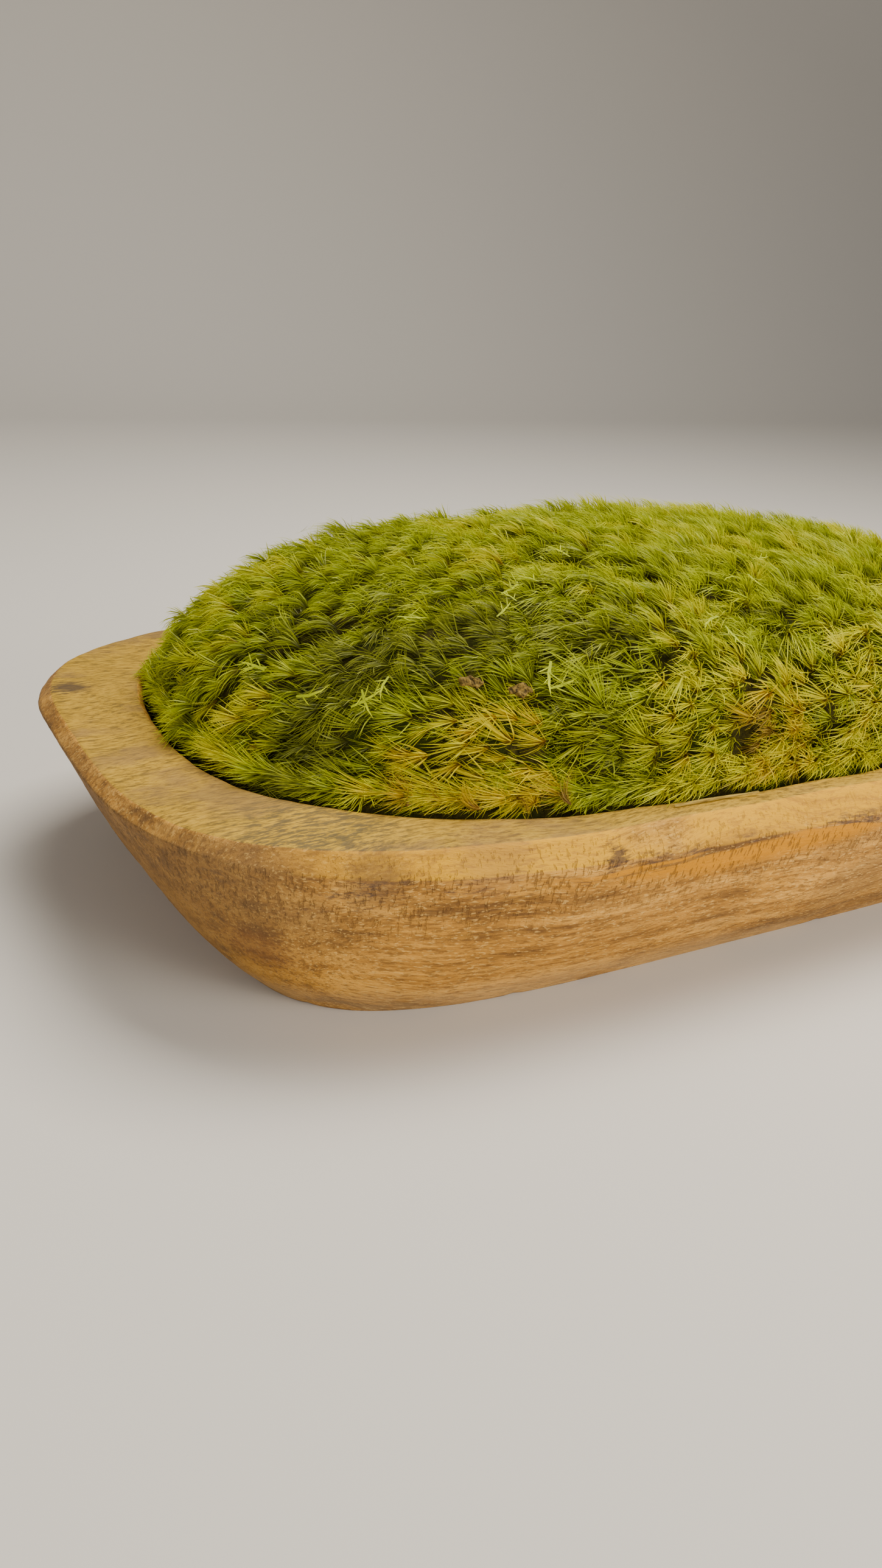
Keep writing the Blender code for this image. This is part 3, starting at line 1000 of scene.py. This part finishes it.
def litter_plan():
    """Dry shoots that lie on the hem."""
    plan = []
    for x, y in LITTER:
        flat = unit(np.array([dice.normal(), dice.normal() * 0.5, 0.12]))
        root = np.array([x / 1000, y / 1000, RIM_TOP]) + dice.normal(0, 0.0018, 3)
        root[2] = RIM_TOP + dice.uniform(0.0015, 0.0045)
        plan.append((root - flat * 0.004, shoot_turn(flat, dice.normal(0, 1, 3)),
                     dice.uniform(0.60, 0.90), dice.uniform(0.90, 0.98)))
    return plan


def lay_on_rim(piece):
    """Lifts what has sunk into the rim onto it, with what was lowest a little higher."""
    spots = np.empty(len(piece.data.vertices) * 3, np.float32)
    piece.data.vertices.foreach_get("co", spots)
    spots = spots.reshape(-1, 3)
    out = abs(spots[:, 0] / MOUTH_X) ** MOUTH_POWER + abs(spots[:, 1] / MOUTH_Y) ** MOUTH_POWER
    low = (out > 0.97) & (spots[:, 2] < RIM_TOP + ON_RIM)
    spots[low, 2] = RIM_TOP + ON_RIM + (RIM_TOP - spots[low, 2]).clip(0, 0.02) * 0.05
    piece.data.vertices.foreach_set("co", spots.ravel())
    piece.data.update()


for name in CUSHIONS:
    plan = plan_shoots(tufts[name])
    if name == "moss_cushion_front":
        plan += litter_plan()
    piece = plant(name.replace("cushion", "leaves"), plan, shoots)
    lay_on_rim(piece)
    finish_as(piece, LEAF_FINISH, [name])

# %% [markdown]
# Between the leaves the eye meets the old, brown growth that the shoots stand on. A copy of each
# cushion makes it, pulled in along the mound's own directions to where the shoots have their
# roots. It only shows in the gaps, so a dark, crumbly finish is enough.

# %% The old growth under the leaves
def old_growth():
    duff = Finish("old_growth")
    crumbs = duff.noise(duff.place(), 420.0, detail=6.0, rough=0.7)
    wide = duff.noise(duff.place(), 60.0, detail=3.0)
    colour = duff.ramp(crumbs, [(0.32, (0.010, 0.009, 0.002)), (0.52, (0.034, 0.028, 0.006)),
                                (0.74, (0.085, 0.070, 0.012))])
    colour = duff.mixed(duff.steps(wide, 0.45, 0.65), colour, (0.026, 0.032, 0.004))
    duff.put(duff.shader.inputs["Base Color"], colour)
    duff.put(duff.shader.inputs["Specular IOR Level"], 0.05)
    duff.put(duff.shader.inputs["Roughness"], 0.95)
    duff.bump(crumbs, 0.0015)
    return duff.material


OLD_GROWTH = old_growth()
for name in CUSHIONS:
    growth = merged_copy(name, name.replace("cushion", "old_growth"))
    spots = np.array([vertex.co for vertex in growth.data.vertices])
    inwards = mound_way_out(spots) * (ROOT_DEPTH + 0.0005 + np.maximum(0, sunk(spots))[:, None])
    raised = np.clip((spots[:, 2] - RIM_TOP + 0.004) / 0.004, 0, 1)[:, None]
    growth.data.vertices.foreach_set("co", (spots - inwards * raised).ravel())
    growth.data.update()
    growth.data.shade_smooth()
    finish_as(growth, OLD_GROWTH, [name])

# %% [markdown]
# The sprigs of feather moss come last, since they lie on top of the rest. Each lies nearly flat on
# the mound, at the height that the nearest spot with leaves has.

# %% Lay the sprigs
SPRIG_PLACES = [  # x, y in millimetres
    (-80, -39), (-86, -82), (-58, -22), (-143, -67), (-4, -62), (-26, -86), (-162, -30),
    (-157, -52), (-144, -69), (-139, -63), (-82, -44), (-76, -41), (-60, -26), (-52, -30),
    (-90, -78), (-30, -82), (-8, -66), (2, -58), (22, -40), (-12, -37), (-118, -50),
    (-166, -34), (-96, -60), (40, 30), (-30, 60), (90, -20), (120, 30), (-110, 55),
]


def sprig_plan():
    """Places, turns and sizes of the sprigs. A sprig has no hue, so it gets the middle one."""
    plan = []
    for x, y in SPRIG_PLACES:
        near = np.linalg.norm(every_spot[:, :2] - np.array([x, y]) / 1000, axis=1).argmin()
        spot = every_spot[near:near + 1]
        out = mound_way_out(spot)[0]
        flat = unit(dice.normal(0, 1, 3) - out * 0.2)
        grows = unit(flat - out * (flat @ out)) + out * dice.uniform(0.04, 0.18)
        plan.append((spot[0] - out * sunk(spot)[0] - unit(grows) * 0.004,
                     shoot_turn(grows, np.cross(out, grows)), dice.uniform(0.50, 0.90), 0.5))
    return plan


def sprig_finish():
    pale = Finish("feather_moss")
    _, along, _ = pale.split(pale.node("ShaderNodeUVMap", settings={"uv_map": LEAF_MAP}))
    colour = pale.mixed(pale.steps(along, 0.05, 0.9), (0.27, 0.320, 0.004), (0.44, 0.480, 0.010))
    pale.put(pale.shader.inputs["Base Color"], colour)
    pale.put(pale.shader.inputs["Roughness"], 0.6)
    pale.put(pale.shader.inputs["Specular IOR Level"], SHINE)
    return pale.material


finish_as(plant("feather_moss_sprigs", sprig_plan(), sprigs), sprig_finish())
for kinds in (shoots, sprigs):
    for kind in list(kinds.objects):
        bpy.data.objects.remove(kind)

# %% [markdown]
# A dry stem lies on the near rim, and two flakes of bark are lodged in the moss. Their shapes come
# from the frame, subdivided and roughened a little by a cloud texture.

# %% The stem and the bark
def rough_copy(node, name, grain, depth):
    """A copy of a node, rounded off and made uneven by clouds of this grain and depth."""
    piece = merged_copy(node, name)
    piece.modifiers.new("round_off", "SUBSURF").levels = 2
    clouds = bpy.data.textures.new(name, "CLOUDS")
    clouds.noise_scale = grain
    roughen = piece.modifiers.new("roughen", "DISPLACE")
    roughen.texture = clouds
    roughen.strength = depth
    apply_modifiers(piece)
    piece.data.shade_smooth()
    return piece


def streaked(name, dark, light, scale):
    """A matt finish with streaks of two colours."""
    finish = Finish(name)
    streaks = finish.noise(finish.place(scale), 1.0, detail=5.0, rough=0.65)
    colour = finish.ramp(streaks, [(0.38, dark), (0.60, light)])
    finish.put(finish.shader.inputs["Base Color"], colour)
    finish.put(finish.shader.inputs["Roughness"], 0.75)
    finish.put(finish.shader.inputs["Specular IOR Level"], SHINE)
    finish.bump(streaks, 0.0004)
    return finish.material


straw = rough_copy("straw_stem", "dry_stem", 0.006, 0.0004)
finish_as(straw, streaked("dry_straw", (0.16, 0.10, 0.018), (0.38, 0.26, 0.05), (120, 900, 900)),
          ["straw_stem"])
BARK = streaked("bark", (0.030, 0.018, 0.004), (0.230, 0.145, 0.028), (1100, 500, 1100))
for side in ("left", "right"):
    flake = rough_copy(f"bark_flake_{side}", f"flake_{side}", 0.0022, 0.0042)
    finish_as(flake, BARK, [f"bark_flake_{side}"])
